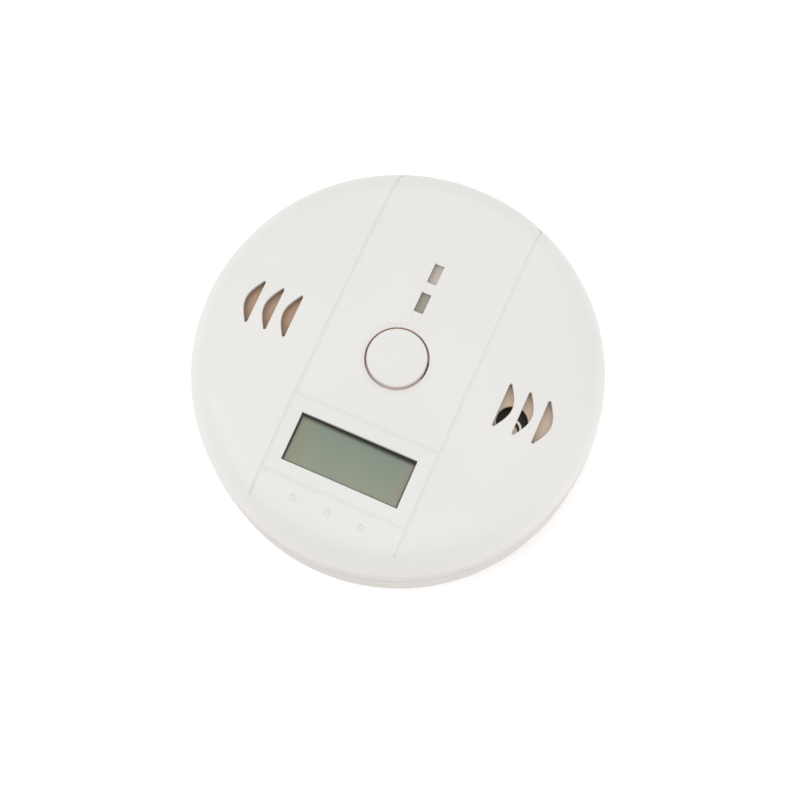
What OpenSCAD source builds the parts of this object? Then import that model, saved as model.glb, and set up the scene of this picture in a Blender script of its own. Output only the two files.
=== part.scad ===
// Round battery carbon monoxide detector on a twist-off mounting base.
// Millimetres. +Z points out of the domed face, +Y towards the indicator lights.
// The origin is the centre of the mounting base's back face, which lies on the wall.

/* [Body] */
// Outer diameter of the front cover and its widest level
body_d = 103.6; // [103:0.2:106]
// Height from the wall to the top of the domed face
body_h = 37; // [37:0.5:39]
// Radius of the dome that the face is part of
dome_r = 357; // [300:1:420]
// Radius of the soft edge between the face and the side wall
edge_r = 9; // [7:0.5:10]
// Thickness of the casing walls
wall = 2; // [1.8:0.1:2.2]
// Height of the parting line between the front cover and the rear housing
seam_z = 15.3; // [14.5:0.1:16]

/* [Face] */
// Distance from the centre line to each long groove of the centre band
band_x = 19.2; // [18.6:0.1:20]
// Width of the long grooves
groove_w = 0.8; // [0.5:0.05:1]
// Depth of every groove in the face
groove_depth = 0.2; // [0.15:0.05:0.3]
// Diameter of the test button's hole
button_hole_d = 15.86; // [15.6:0.02:16.2]
// Diameter of the test button
button_d = 15; // [14.6:0.1:15.1]
// Width of the display window
window_w = 30.6; // [28:0.1:31]
// Height of the display window
window_h = 12.5; // [11:0.1:12.8]
// Width of an indicator window
lens_w = 2.5; // [2.0:0.1:2.8]
// Length of an indicator window
lens_l = 5.4; // [4.6:0.1:5.6]

/* [Vents] */
// Length of a vent slot from tip to tip
vent_l = 11.5; // [10:0.1:12]
// How far a vent slot bulges out from its straight edge
vent_bulge = 2.95; // [2.4:0.05:3.2]
// Distance from one vent slot to the next
vent_pitch = 5.15; // [5:0.05:5.3]
// Distance from the centre to the middle vent slot's straight edge
vent_x = 32.85; // [32.5:0.05:33.2]

/* [Batteries] */
// Diameter of an AA cell
cell_d = 14.2; // [13.8:0.1:14.5]
// Length of an AA cell with its positive cap
cell_l = 50.2; // [49.4:0.1:50.5]

/* [Mounting base] */
// Height of the mounting base
base_h = 4.4; // [4.2:0.1:4.5]
// Distance between the two wall screw slots
screw_spacing = 60; // [58:1:64]
// Width of a wall screw slot
screw_slot_w = 4.4; // [4:0.1:4.8]
// End-to-end length of a wall screw slot
screw_slot_l = 8; // [7:0.5:9]
// Angle that unlocks the detector from the mounting base
twist_angle = 18; // [15:1:20]

/* [Hidden] */

$fn = 96;
smooth = 180;
dome_steps = 12;
edge_steps = 14;
eps = 0.02;

// Casing levels and the tangent arcs of the domed face
body_r = body_d / 2;
dome_cz = body_h - dome_r;
edge_cx = body_r - edge_r;
edge_a = asin(edge_cx / (dome_r - edge_r));
edge_cz = dome_cz + (dome_r - edge_r) * cos(edge_a);
seam_gap = 0.4;
cover_z = seam_z + seam_gap / 2;
lip_h = 0.9;
lip_out = 0.12;
shell_top = body_h + 5;
shell_reach = body_r + 5;

// Rear housing
housing_r = body_r - 0.3;
housing_z = base_h + 0.4;
skirt_z = 1.6;
skirt_clear = 0.5;
housing_top = seam_z - seam_gap / 2;
housing_floor = housing_z + wall;
housing_edge_r = 1;
spigot_w = 1.4;
spigot_h = 4;
spigot_r = body_r - wall - 0.15;

// Battery bay, open to the rear
cell_r = cell_d / 2;
cell_pitch = cell_d + 0.9;
cell_z = housing_z + 1.4 + cell_r;
cell_cap_l = 1.2;
cell_cap_r = 2.7;
cell_end_l = 0.3;
contact_t = 0.4;
spring_gap = 4.6;
bay_wall = 1.4;
bay_w = 3 * cell_pitch + 0.6;
bay_l = cell_l + spring_gap + 2 * contact_t + 0.8;
bay_h = cell_z + cell_r + 0.5 - housing_z;
contact_w = 10;
contact_h = 11;
contact_y = bay_l / 2 - 0.25;
contact_link_h = 2;
contact_link_z = cell_z - contact_link_h / 2;
contact_tab_w = 3;
contact_tab_clear = 0.15;
contact_tab_x = cell_pitch + contact_w / 2 - 0.2;
cell_y = (spring_gap - 0.4) / 2;
spring_wire_r = 0.35;
spring_turns = 4;
spring_sides = 6;
spring_steps = 12;
spring_r0 = 4.2;
spring_r1 = 2.4;
spring_clear = 0.04;

// Circuit board
board_top = body_h - 12.2;
contact_tab_h = board_top + 0.8 - cell_z;
board_t = 1.6;
board_z = board_top - board_t;
board_r = 40.6;
board_posts = [[30, 22], [-30, 22], [30, -24], [-30, -24]];
board_post_r = 2.6;
board_screw_r = 0.95;
board_screw_l = 5;
board_screw_head_r = 1.9;
board_screw_head_h = 1.2;
board_cross_w = 0.5;
board_cross_l = 2.2;
board_cross_depth = 0.6;
pilot_clear = 0.05;
screw_clear = 0.2;
board_pilot_l = board_screw_l - board_t + 0.6;

// Parts soldered to the board
chip_xy = [-12, -6];
chip_w = 9;
chip_t = 1.5;
chip_lift = 0.2;
pin_l = 1.3;
pin_w = 0.5;
pin_h = 0.8;
pin_pitch = 1.2;
capacitor_x = -14;
capacitor_y = [10, 18];
capacitor_r = 2.5;
capacitor_h = 5.4;
resistor_xy = [12, 12];
resistor_pitch = 3.1;
resistor_w = 1.2;
resistor_l = 2;
resistor_t = 0.55;
inductor_xy = [14, -12];
inductor_r = 3.4;
inductor_h = 4.4;
bobbin_t = 1;
bobbin_in = 1.2;

// Case screws
case_post_xy = 31.4;
case_boss_r = 3.2;
case_post_r = 4.2;
case_boss_z = seam_z + 2.2;
post_gap = 0.1;
case_head_z = housing_z + 7;
case_head_r = 2.4;
case_head_h = 1.8;
case_well_r = 2.9;
case_screw_r = 1.2;
case_screw_tip = case_boss_z + 6;
case_pilot_l = case_screw_tip - case_boss_z + 1;
case_cross_w = 0.6;
case_cross_l = 2.8;
case_cross_depth = 0.9;

// Display
window_x = -0.4;
window_y = -27.5;
lcd_w = 34;
lcd_h = 16.6;
lcd_t = 2.8;
lcd_top = body_h - 2.7;
lcd_z = lcd_top - lcd_t;
lcd_step = 1.8;
holder_wall = 1.2;
holder_lip = 0.9;
pocket_clear = 0.3;
pocket_gap = 0.1;
holder_clear = 0.1;
holder_seat_w = 3;
holder_seat_h = 0.4;
zebra_w = 1.6;
zebra_l = lcd_w - 4;
zebra_y = (lcd_h - zebra_w) / 2 - 0.3;

// Test button and switch
button_r = button_d / 2;
button_top = body_h - 0.12;
button_skirt = 1.2;
button_flange_r = button_hole_d / 2 + 1.1;
button_flange_t = 1;
button_travel = 0.5;
button_flange_top = body_h - wall - 0.35;
button_stem_r = 2;
button_hollow_r = button_r - button_skirt;
button_edge_r = 0.6;
button_step = 1.3;
button_clear = 0.1;
stem_gap = 0.05;
switch_w = 6;
switch_h = 3.4;
plunger_r = 1.7;
plunger_top = board_top + 4.4;
switch_leg_l = 2.4;
switch_leg_w = 1;
switch_leg_h = 0.6;
switch_bore_z = board_top + 1;
plunger_z = switch_bore_z + button_travel + 0.1;
running_clear = 0.06;
dish_r = 9.1;
dish_depth = 0.35;

// Indicator lights in their channel
lens_y = [23.7, 15.5];
lens_recess = 1.2;
channel_r = 2.1;
channel_depth = 0.42;
channel_y = [12.4, 27.2];
channel_end_l = 6;
channel_end_a = 9;
guide_clear = 0.08;
guide_bottom = board_top + 5.4;
guide_flange_t = 1;
guide_flange_w = 1.2;
led_r = 1.5;
led_rim_r = 1.9;
led_rim_h = 0.8;
led_h = 4.6;

// Sounder and sensor chambers under the vents
plate_r = 12.2;
plate_t = 1;
plate_gap = 0.05;
pocket_r = 11.2;
vent_wall = 1.2;
port_x = 31.8;
port_y = -2.7;
port_r = 3.95;
buzzer_x = 31.95;
buzzer_y = -3.8;
buzzer_r = 10.8;
buzzer_top = body_h - 6.8;
buzzer_wall = 0.9;
buzzer_port_r = 2.25;
buzzer_port_inner_r = 1.8;
buzzer_port_depth = 2.5;
disc_t = 0.3;
disc_clear = 0.1;
disc_r = buzzer_r - buzzer_wall - 0.3;
ring_w = 0.5;
ring_h = 0.4;
sensor_x = -34.2;
sensor_r = 9.6;
sensor_z = housing_floor + 3;
sensor_top = body_h - 8.6;
sensor_cap_r = 6;
sensor_cap_h = 0.8;
sensor_seat_r = sensor_r - 1;
sensor_seat_w = 2;
sensor_groove_z = [3, 9];
sensor_groove_w = 1;
sensor_groove_depth = 0.5;
sensor_notch_r = sensor_r + 0.5;
gasket_clear = 0.2;
gas_hole_r = 1;
gas_hole_y = 3;

// Face details
groove_y = 1.1;
groove_l = 91.4;
line_gap = 0.62;
line_w = 0.28;
line_y = [-17.65, -37.6];
dot_pitch = 8.95;
dot_y = -41.35;
dot_r = 0.85;
dot_inner_r = 0.42;
dot_depth = 0.2;
vent_tip = 0.38;
vent_y = -0.2;
vent_steps = 10;

// Mounting base
base_r = body_r - 3;
base_web = 1.8;
base_rim = 1.6;
pad_r = 9;
hook_r = 44;
hook_angles = [90, 210, 330];
hook_stem_w = 1.6;
hook_head_w = 3;
hook_arc = 8;
hook_head_t = 1.1;
hook_slot_w = 2.4;
hook_entry_w = 3.7;
hook_play = 1;
web_z = base_h - base_web;
hook_head_z = web_z - 0.3 - hook_head_t;

white = [0.92, 0.91, 0.89];
dim_white = [0.85, 0.83, 0.8];
green = [0.1, 0.4, 0.2];
steel = [0.72, 0.73, 0.75];
black = [0.07, 0.07, 0.07];
cell_grey = [0.2, 0.22, 0.26];

function dome_z(x, y) = dome_cz + sqrt(dome_r * dome_r - x * x - y * y);

// ---------- shared shapes ----------

// Curve of the face from its centre to the side wall, moved inwards by inset
function face_curve(inset) = concat(
    [
        for (i = [0 : dome_steps])
            let (a = edge_a * i / dome_steps)
                [(dome_r - inset) * sin(a), dome_cz + (dome_r - inset) * cos(a)]
    ],
    [
        for (i = [1 : edge_steps])
            let (a = edge_a + (90 - edge_a) * i / edge_steps)
                [edge_cx + (edge_r - inset) * sin(a), edge_cz + (edge_r - inset) * cos(a)]
    ]
);

// The casing's solid shape above the level z, moved inwards by inset
module face_solid(inset, z) {
    rotate_extrude($fn = smooth)
        polygon(concat([[0, z]], face_curve(inset), [[body_r - inset, z]]));
}

// Everything above the face moved inwards by depth
module above_face(depth) {
    rotate_extrude($fn = smooth)
        polygon(concat(
            face_curve(depth),
            [[shell_reach, edge_cz], [shell_reach, shell_top], [0, shell_top]]
        ));
}

// A straight cut into the face, w by l, that keeps its depth as the face curves
module face_groove(x, y, w, l) {
    intersection() {
        translate([x - w / 2, y - l / 2, edge_cz])
            cube([w, l, shell_top]);
        above_face(groove_depth);
    }
}

module ring(outer, inner, h) {
    difference() {
        cylinder(r = outer, h = h);
        translate([0, 0, -eps])
            cylinder(r = inner, h = h + 2 * eps);
    }
}

module box(x, y, z, w, l, h) {
    translate([x - w / 2, y - l / 2, z])
        cube([w, l, h]);
}

// Sector of a ring: centred at angle a, spanning the arc in degrees
module ring_sector(r, w, a, arc, h) {
    rotate([0, 0, a - arc / 2])
        rotate_extrude(angle = arc)
            translate([r - w / 2, 0])
                square([w, h]);
}

// Outline of a vent slot: a straight edge and a bulge that flares into round tips
module vent_outline() {
    half = vent_l / 2 - vent_tip;
    bulge = [
        for (i = [0 : vent_steps])
            let (t = i / vent_steps * 2 - 1)
                [2 * vent_tip + (vent_bulge - 2 * vent_tip) * cos(90 * t), t * half]
    ];
    polygon(concat([[0, half], [0, -half]], bulge));
    for (s = [-1, 1])
        translate([vent_tip, s * half])
            circle(r = vent_tip, $fn = 24);
}

module vent_group(side) {
    for (i = [-1 : 1])
        translate([side * (vent_x + i * vent_pitch), vent_y, edge_cz])
            mirror([side < 0 ? 1 : 0, 0, 0])
                linear_extrude(height = shell_top)
                    vent_outline();
}

// Thinner wall round a vent group
module vent_pocket(x) {
    intersection() {
        translate([x, 0, edge_cz])
            cylinder(r = pocket_r, h = shell_top);
        face_solid(vent_wall, edge_cz);
    }
}

// ---------- casing ----------

module front_cover() {
    color(white)
    difference() {
        union() {
            difference() {
                union() {
                    face_solid(0, cover_z);
                    translate([0, 0, cover_z])
                        cylinder(r = body_r + lip_out, h = lip_h, $fn = smooth);
                }
                face_solid(wall, cover_z - 1);
            }
            intersection() {
                union() {
                    case_bosses();
                    board_posts();
                }
                face_solid(wall / 2, cover_z);
            }
        }
        for (i = [-1 : 1])
            face_dot(i * dot_pitch, dot_y);
        translate([0, 0, edge_cz])
            cylinder(r = button_hole_d / 2, h = shell_top);
        button_dish();
        box(window_x, window_y, edge_cz, window_w, window_h, shell_top);
        lcd_pocket();
        for (y = lens_y)
            box(0, y, edge_cz, lens_w, lens_l, shell_top);
        lens_channel();
        for (s = [-1, 1])
            face_groove(s * band_x, groove_y, groove_w, groove_l);
        for (y = line_y, s = [-1, 1])
            face_groove(0, y + s * line_gap / 2, 2 * band_x, line_w);
        for (s = [-1, 1]) {
            vent_group(s);
            vent_pocket(s * vent_x);
        }
        for (a = [45 : 90 : 315])
            rotate([0, 0, a])
                translate([case_post_xy * sqrt(2), 0, case_boss_z - eps])
                    cylinder(r = case_screw_r + pilot_clear, h = case_pilot_l, $fn = 32);
        for (p = board_posts)
            translate([p[0], p[1], board_top - eps])
                cylinder(r = board_screw_r + pilot_clear, h = board_pilot_l, $fn = 32);
    }
}

module case_bosses() {
    for (a = [45 : 90 : 315])
        rotate([0, 0, a])
            translate([case_post_xy * sqrt(2), 0, case_boss_z])
                cylinder(r = case_boss_r, h = shell_top);
}

module board_posts() {
    for (p = board_posts)
        translate([p[0], p[1], board_top])
            cylinder(r = board_post_r, h = shell_top);
}

// Thinned area inside the cover that the display panel sits up into
module lcd_pocket() {
    grow = 2 * pocket_clear;
    step_z = lcd_z + lcd_t / 2;
    box(0, window_y, edge_cz, lcd_w + grow, lcd_h - 2 * lcd_step + grow, lcd_top + pocket_gap - edge_cz);
    box(0, window_y, edge_cz, lcd_w + grow, lcd_h + grow, step_z + pocket_clear - edge_cz);
}

// Small ring cut square into the domed face
module face_dot(x, y) {
    translate([x, y, dome_z(x, y)])
        rotate([-asin(y / dome_r), asin(x / dome_r), 0])
            translate([0, 0, -dot_depth])
                ring(dot_r, dot_inner_r, wall);
}

// Shallow cone that leads into the test button's hole
module button_dish() {
    hole_r = button_hole_d / 2;
    rotate_extrude()
        polygon([
            [0, body_h - dish_depth],
            [hole_r, body_h - dish_depth],
            [dish_r, dome_z(dish_r, 0)],
            [dish_r + (dish_r - hole_r), dome_z(dish_r, 0) + dish_depth],
            [0, body_h + 1]
        ]);
}

// Half-round channel that holds both indicator windows, rising out at its ends
module lens_channel() {
    lift = channel_r - channel_depth;
    for (i = [0, 1])
        translate([0, channel_y[i], dome_z(0, channel_y[i]) + lift])
            rotate([i == 0 ? 90 : -90, 0, 0])
                rotate([i == 0 ? -channel_end_a : channel_end_a, 0, 0])
                    cylinder(r = channel_r, h = channel_end_l);
    run = channel_y[1] - channel_y[0];
    drop = dome_z(0, channel_y[0]) - dome_z(0, channel_y[1]);
    translate([0, channel_y[0], dome_z(0, channel_y[0]) + lift])
        rotate([-90 - atan(drop / run), 0, 0])
            cylinder(r = channel_r, h = run / cos(atan(drop / run)));
}

module rear_housing() {
    color(white)
    difference() {
        union() {
            difference() {
                rotate_extrude($fn = smooth)
                    housing_profile();
                translate([0, 0, housing_floor])
                    cylinder(r = housing_r - wall, h = shell_top, $fn = smooth);
            }
            difference() {
                translate([0, 0, housing_floor])
                    cylinder(r = spigot_r, h = housing_top + spigot_h - housing_floor, $fn = smooth);
                translate([0, 0, housing_floor - eps])
                    cylinder(r = spigot_r - spigot_w, h = shell_top, $fn = smooth);
            }
            box(0, 0, housing_z, bay_w + 2 * bay_wall, bay_l + 2 * bay_wall, bay_h + bay_wall);
            for (a = [45 : 90 : 315])
                rotate([0, 0, a])
                    translate([case_post_xy * sqrt(2), 0, housing_z])
                        cylinder(r = case_post_r, h = case_boss_z - post_gap - housing_z);
            translate([sensor_x, 0, housing_floor - eps])
                ring(sensor_seat_r, sensor_seat_r - sensor_seat_w, sensor_z - housing_floor + eps);
            for (a = hook_angles)
                hook(a);
        }
        box(0, 0, housing_z - 1, bay_w, bay_l, bay_h + 1);
        for (a = [45 : 90 : 315])
            rotate([0, 0, a])
                translate([case_post_xy * sqrt(2), 0, housing_z - 1]) {
                    cylinder(r = case_well_r, h = case_head_z - housing_z + 1);
                    cylinder(r = case_screw_r + screw_clear, h = shell_top, $fn = 48);
                }
        contact_tab_slots();
    }
}

// Floor and side wall, which runs down round the mounting base as a skirt
module housing_profile() {
    corner_r = housing_r - housing_edge_r;
    skirt_r = base_r + skirt_clear;
    translate([0, housing_z])
        square([corner_r, housing_top - housing_z]);
    translate([skirt_r, skirt_z])
        square([corner_r - skirt_r, housing_top - skirt_z]);
    translate([corner_r - eps, skirt_z + housing_edge_r])
        square([housing_edge_r + eps, housing_top - skirt_z - housing_edge_r]);
    translate([corner_r, skirt_z + housing_edge_r])
        circle(r = housing_edge_r, $fn = 48);
}

// Bayonet hook: a stem through the base's slot and a head behind its web
module hook(a) {
    translate([0, 0, hook_head_z])
        ring_sector(hook_r, hook_stem_w, a, hook_arc, housing_z + eps - hook_head_z);
    translate([0, 0, hook_head_z])
        ring_sector(hook_r, hook_head_w, a, hook_arc, hook_head_t);
}

module mounting_base() {
    color(white)
    difference() {
        union() {
            translate([0, 0, web_z])
                cylinder(r = base_r, h = base_web, $fn = smooth);
            difference() {
                cylinder(r = base_r, h = base_h, $fn = smooth);
                translate([0, 0, -eps])
                    cylinder(r = base_r - base_rim, h = base_h, $fn = smooth);
            }
            for (s = [-1, 1])
                translate([s * screw_spacing / 2, 0, 0])
                    cylinder(r = pad_r, h = base_h);
        }
        for (s = [-1, 1])
            screw_slot(s * screw_spacing / 2);
        for (a = hook_angles)
            bayonet_slot(a);
    }
}

module screw_slot(x) {
    half = (screw_slot_l - screw_slot_w) / 2;
    translate([x, 0, -1]) {
        for (s = [-1, 1])
            translate([s * half, 0, 0])
                cylinder(r = screw_slot_w / 2, h = base_h + 2);
        box(0, 0, 0, 2 * half, screw_slot_w, base_h + 2);
    }
}

// Narrow arc that the hook's stem runs in, with a wide end that passes its head
module bayonet_slot(a) {
    stem_arc = hook_arc + 2 * hook_play;
    translate([0, 0, web_z - 1])
        ring_sector(hook_r, hook_slot_w, a + twist_angle / 2, stem_arc + twist_angle, base_web + 2);
    translate([0, 0, web_z - 0.5])
        ring_sector(hook_r, hook_entry_w, a + twist_angle, stem_arc + hook_play, base_web + 1);
}

// ---------- test button and switch ----------

module test_button() {
    skirt_z = button_flange_top - button_flange_t;
    color(white)
    union() {
        difference() {
            union() {
                rotate_extrude($fn = smooth)
                    button_profile(skirt_z);
                translate([0, 0, skirt_z])
                    cylinder(r = button_flange_r, h = button_flange_t);
            }
            translate([0, 0, skirt_z - 1])
                cylinder(r = button_hollow_r, h = button_top - button_skirt - skirt_z + 1);
        }
        translate([0, 0, plunger_top + stem_gap])
            cylinder(r = button_stem_r, h = button_top - button_skirt / 2 - plunger_top - stem_gap);
    }
}

// Visible cap over a wider guide that fits the cover's hole
module button_profile(z) {
    shoulder_z = button_top - button_edge_r;
    translate([0, z])
        square([button_hole_d / 2 - button_clear, button_top - button_step - z]);
    translate([0, z])
        square([button_r, shoulder_z - z]);
    translate([0, z])
        square([button_r - button_edge_r, button_top - z]);
    translate([button_r - button_edge_r, shoulder_z])
        circle(r = button_edge_r, $fn = 48);
}

module switch_body() {
    color(black)
    difference() {
        union() {
            box(0, 0, board_top, switch_w, switch_w, switch_h);
            for (s = [-1, 1])
                box(s * switch_w / 2, 0, board_top, switch_leg_l, switch_leg_w, switch_leg_h);
        }
        translate([0, 0, switch_bore_z])
            cylinder(r = plunger_r + running_clear, h = shell_top);
    }
}

module switch_plunger() {
    color(dim_white)
    translate([0, 0, plunger_z])
        cylinder(r = plunger_r, h = plunger_top - plunger_z);
}

// ---------- circuit board ----------

module circuit_board() {
    color(green)
    difference() {
        translate([0, 0, board_z])
            cylinder(r = board_r, h = board_t);
        translate([sensor_x, 0, board_z - 1]) {
            cylinder(r = sensor_notch_r, h = board_t + 2);
            box(-sensor_notch_r, 0, 0, 2 * sensor_notch_r, 2 * sensor_notch_r, board_t + 2);
        }
        for (p = board_posts)
            translate([p[0], p[1], board_z - 1])
                cylinder(r = board_screw_r + screw_clear, h = board_t + 2, $fn = 32);
        contact_tab_slots();
    }
}

module controller_chip() {
    color(black)
        box(chip_xy[0], chip_xy[1], board_top + chip_lift, chip_w, chip_w, chip_t);
    color(steel)
    for (i = [-3 : 3], s = [-1, 1])
        box(
            chip_xy[0] + s * (chip_w + pin_l) / 2 - s * eps, chip_xy[1] + i * pin_pitch, board_top,
            pin_l, pin_w, pin_h
        );
}

module capacitors() {
    color([0.15, 0.2, 0.4])
    for (y = capacitor_y)
        translate([capacitor_x, y, board_top])
            cylinder(r = capacitor_r, h = capacitor_h);
}

module chip_resistors() {
    color(black)
    for (i = [0, 1], j = [0 : 2])
        box(
            resistor_xy[0] + resistor_pitch * i, resistor_xy[1] + resistor_pitch * j, board_top,
            resistor_w, resistor_l, resistor_t
        );
}

// Coil on a ferrite bobbin
module boost_inductor() {
    color([0.2, 0.2, 0.22])
    translate([inductor_xy[0], inductor_xy[1], board_top])
        union() {
            cylinder(r = inductor_r, h = bobbin_t);
            cylinder(r = inductor_r - bobbin_in, h = inductor_h);
            translate([0, 0, inductor_h - bobbin_t])
                cylinder(r = inductor_r, h = bobbin_t);
        }
}

// ---------- indicator lights ----------

module led(y) {
    translate([0, y, board_top]) {
        cylinder(r = led_rim_r, h = led_rim_h, $fn = 48);
        cylinder(r = led_r, h = led_h - led_r, $fn = 48);
        translate([0, 0, led_h - led_r])
            sphere(r = led_r, $fn = 48);
    }
}

module alarm_led() {
    color([0.7, 0.1, 0.08])
        led(lens_y[0]);
}

module power_led() {
    color([0.1, 0.6, 0.2])
        led(lens_y[1]);
}

// Clear bar from just above the LED to a flat face at the bottom of its window
module light_guide(y) {
    top = dome_z(0, y) - lens_recess;
    w = lens_w - 2 * guide_clear;
    l = lens_l - 2 * guide_clear;
    box(0, y, guide_bottom, w, l, top - guide_bottom);
    box(0, y, guide_bottom, w + guide_flange_w, l + guide_flange_w, guide_flange_t);
}

module alarm_light_guide() {
    color([0.6, 0.56, 0.54])
        light_guide(lens_y[0]);
}

module power_light_guide() {
    color([0.58, 0.56, 0.5])
        light_guide(lens_y[1]);
}

// ---------- display ----------

module lcd_panel() {
    color([0.58, 0.61, 0.54]) {
        box(0, window_y, lcd_z + lcd_t / 2, lcd_w, lcd_h - 2 * lcd_step, lcd_t / 2);
        box(0, window_y, lcd_z, lcd_w, lcd_h, lcd_t / 2);
    }
}

// Frame on the board, with a seat for the panel and slots for the zebra strips
module lcd_holder() {
    h = lcd_z + holder_lip - board_top;
    color(white)
    difference() {
        box(0, window_y, board_top, lcd_w + 2 * holder_wall, lcd_h + 2 * holder_wall, h);
        box(0, window_y, lcd_z, lcd_w + holder_clear, lcd_h + holder_clear, shell_top);
        box(0, window_y, board_top - 1, lcd_w - holder_seat_w, lcd_h - holder_seat_h, shell_top);
    }
}

module zebra_strips() {
    color([0.75, 0.45, 0.5])
    for (s = [-1, 1])
        box(0, window_y + s * zebra_y, board_top, zebra_l, zebra_w, lcd_z - board_top);
}

// ---------- sounder and sensor ----------

// Disc glued by its edge to the inside of the cover under a vent group, domed as the cover is
module vent_plate(x) {
    difference() {
        intersection() {
            translate([x, 0, edge_cz])
                cylinder(r = plate_r, h = shell_top);
            face_solid(wall + plate_gap, edge_cz - 1);
        }
        face_solid(wall + plate_gap + plate_t, edge_cz - 2);
    }
}

module sounder_plate() {
    color(dim_white)
    difference() {
        vent_plate(vent_x);
        translate([port_x, port_y, edge_cz])
            cylinder(r = port_r, h = shell_top);
    }
}

// Its gas holes lie between the vent slots
module sensor_cover() {
    rib_x = -(vent_x + vent_bulge / 2);
    color(dim_white)
    difference() {
        vent_plate(-vent_x);
        for (i = [-1, 1], j = [-1, 1])
            translate([rib_x + i * vent_pitch / 2, j * gas_hole_y, edge_cz])
                cylinder(r = gas_hole_r, h = shell_top, $fn = 32);
    }
}

module buzzer_body() {
    color(black)
    translate([buzzer_x, buzzer_y, board_top])
        difference() {
            cylinder(r = buzzer_r, h = buzzer_top - board_top);
            translate([0, 0, -eps])
                cylinder(r = disc_r + disc_clear, h = buzzer_top - board_top - buzzer_port_depth + eps);
            rotate_extrude()
                polygon([
                    [0, 0],
                    [buzzer_port_inner_r, 0],
                    [buzzer_port_inner_r, buzzer_top - board_top - buzzer_port_depth],
                    [buzzer_port_r, buzzer_top - board_top + eps],
                    [0, buzzer_top - board_top + eps]
                ]);
        }
}

module buzzer_disc() {
    color([0.8, 0.78, 0.7])
    translate([buzzer_x, buzzer_y, buzzer_top - buzzer_port_depth - disc_t])
        cylinder(r = disc_r, h = disc_t);
}

module sounder_port_ring() {
    color(white)
    translate([buzzer_x, buzzer_y, buzzer_top])
        ring(buzzer_port_r + ring_w, buzzer_port_r, ring_h);
}

module co_sensor() {
    color(steel)
    translate([sensor_x, 0, sensor_z]) {
        difference() {
            cylinder(r = sensor_r, h = sensor_top - sensor_z);
            for (z = sensor_groove_z)
                translate([0, 0, z])
                    ring(sensor_r + 1, sensor_r - sensor_groove_depth, sensor_groove_w);
        }
        translate([0, 0, sensor_top - sensor_z])
            ring(sensor_cap_r, gas_hole_r, sensor_cap_h);
    }
}

module sensor_gasket() {
    color([0.2, 0.2, 0.2])
    intersection() {
        translate([sensor_x, 0, sensor_top])
            ring(sensor_r - gasket_clear, sensor_cap_r + gasket_clear, shell_top);
        face_solid(wall + plate_t + gasket_clear, edge_cz);
    }
}

// ---------- batteries ----------

// AA cell along Y; flip turns its positive cap towards -Y
module cell(i, flip) {
    translate([i * cell_pitch, 0, cell_z])
        mirror([0, flip ? 1 : 0, 0])
            translate([0, cell_y + cell_l / 2, 0])
                rotate([90, 0, 0]) {
                    cylinder(r = cell_cap_r, h = cell_l);
                    translate([0, 0, cell_cap_l])
                        cylinder(r = cell_r, h = cell_l - cell_cap_l - cell_end_l);
                }
}

module battery_left() {
    color(cell_grey)
        cell(-1, false);
}

module battery_middle() {
    color(cell_grey)
        cell(0, true);
}

module battery_right() {
    color(cell_grey)
        cell(1, false);
}

// Flat plates at both ends of the bay: a link joins two cells at each end,
// and the plate left over there has a tab up to the board
module battery_contact_plates() {
    color(steel)
    union() {
        for (i = [-1 : 1], s = [-1, 1])
            contact_bar(i * cell_pitch, s, cell_z - contact_h / 2, contact_w, contact_h, 0);
        for (s = [-1, 1])
            contact_bar(s * cell_pitch / 2, s, contact_link_z, cell_pitch, contact_link_h, 0);
        contact_tabs(0);
    }
}

module contact_bar(x, s, z, w, h, grow) {
    box(x, s * contact_y, z, w + 2 * grow, contact_t + 2 * grow, h);
}

module contact_tabs(grow) {
    for (s = [-1, 1])
        contact_bar(-s * contact_tab_x, s, cell_z, contact_tab_w, contact_tab_h, grow);
}

module contact_tab_slots() {
    contact_tabs(contact_tab_clear);
}

// Conical coil swept along its own helix
function spring_point(t, len) =
    let (r = spring_r0 + (spring_r1 - spring_r0) * t)
        [r * cos(360 * spring_turns * t), len * t, r * sin(360 * spring_turns * t)];

module spring(len) {
    rings = spring_turns * spring_steps;
    points = [
        for (i = [0 : rings], j = [0 : spring_sides - 1])
            let (
                t = i / rings,
                a = 360 * spring_turns * t,
                b = 360 * j / spring_sides,
                out = spring_wire_r * cos(b),
                p = spring_point(t, len)
            )
                [p[0] + out * cos(a), p[1] + spring_wire_r * sin(b), p[2] + out * sin(a)]
    ];
    sides = [
        for (i = [0 : rings - 1], j = [0 : spring_sides - 1])
            let (
                k = (j + 1) % spring_sides,
                a = i * spring_sides
            )
                [a + j, a + k, a + spring_sides + k, a + spring_sides + j]
    ];
    first = [for (j = [spring_sides - 1 : -1 : 0]) j];
    last = [for (j = [0 : spring_sides - 1]) rings * spring_sides + j];
    polyhedron(points = points, faces = concat(sides, [first, last]), convexity = 6);
}

module battery_springs() {
    start = contact_y - contact_t / 2 - spring_wire_r - spring_clear;
    len = start - (cell_l / 2 - cell_y) - spring_wire_r - spring_clear;
    color(steel)
    for (i = [-1 : 1])
        translate([i * cell_pitch, i == 0 ? start : -start, cell_z])
            mirror([0, i == 0 ? 1 : 0, 0])
                spring(len);
}

// ---------- fasteners ----------

module drive_cross(w, l, h) {
    box(0, 0, 0, w, l, h);
    box(0, 0, 0, l, w, h);
}

module case_screws() {
    color(steel)
    for (a = [45 : 90 : 315])
        rotate([0, 0, a])
            translate([case_post_xy * sqrt(2), 0, 0])
                difference() {
                    union() {
                        translate([0, 0, case_head_z - case_head_h])
                            cylinder(r = case_head_r, h = case_head_h, $fn = 48);
                        translate([0, 0, case_head_z - eps])
                            cylinder(r = case_screw_r, h = case_screw_tip - case_head_z, $fn = 32);
                    }
                    translate([0, 0, case_head_z - case_head_h - 1])
                        drive_cross(case_cross_w, case_cross_l, 1 + case_cross_depth);
                }
}

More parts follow.
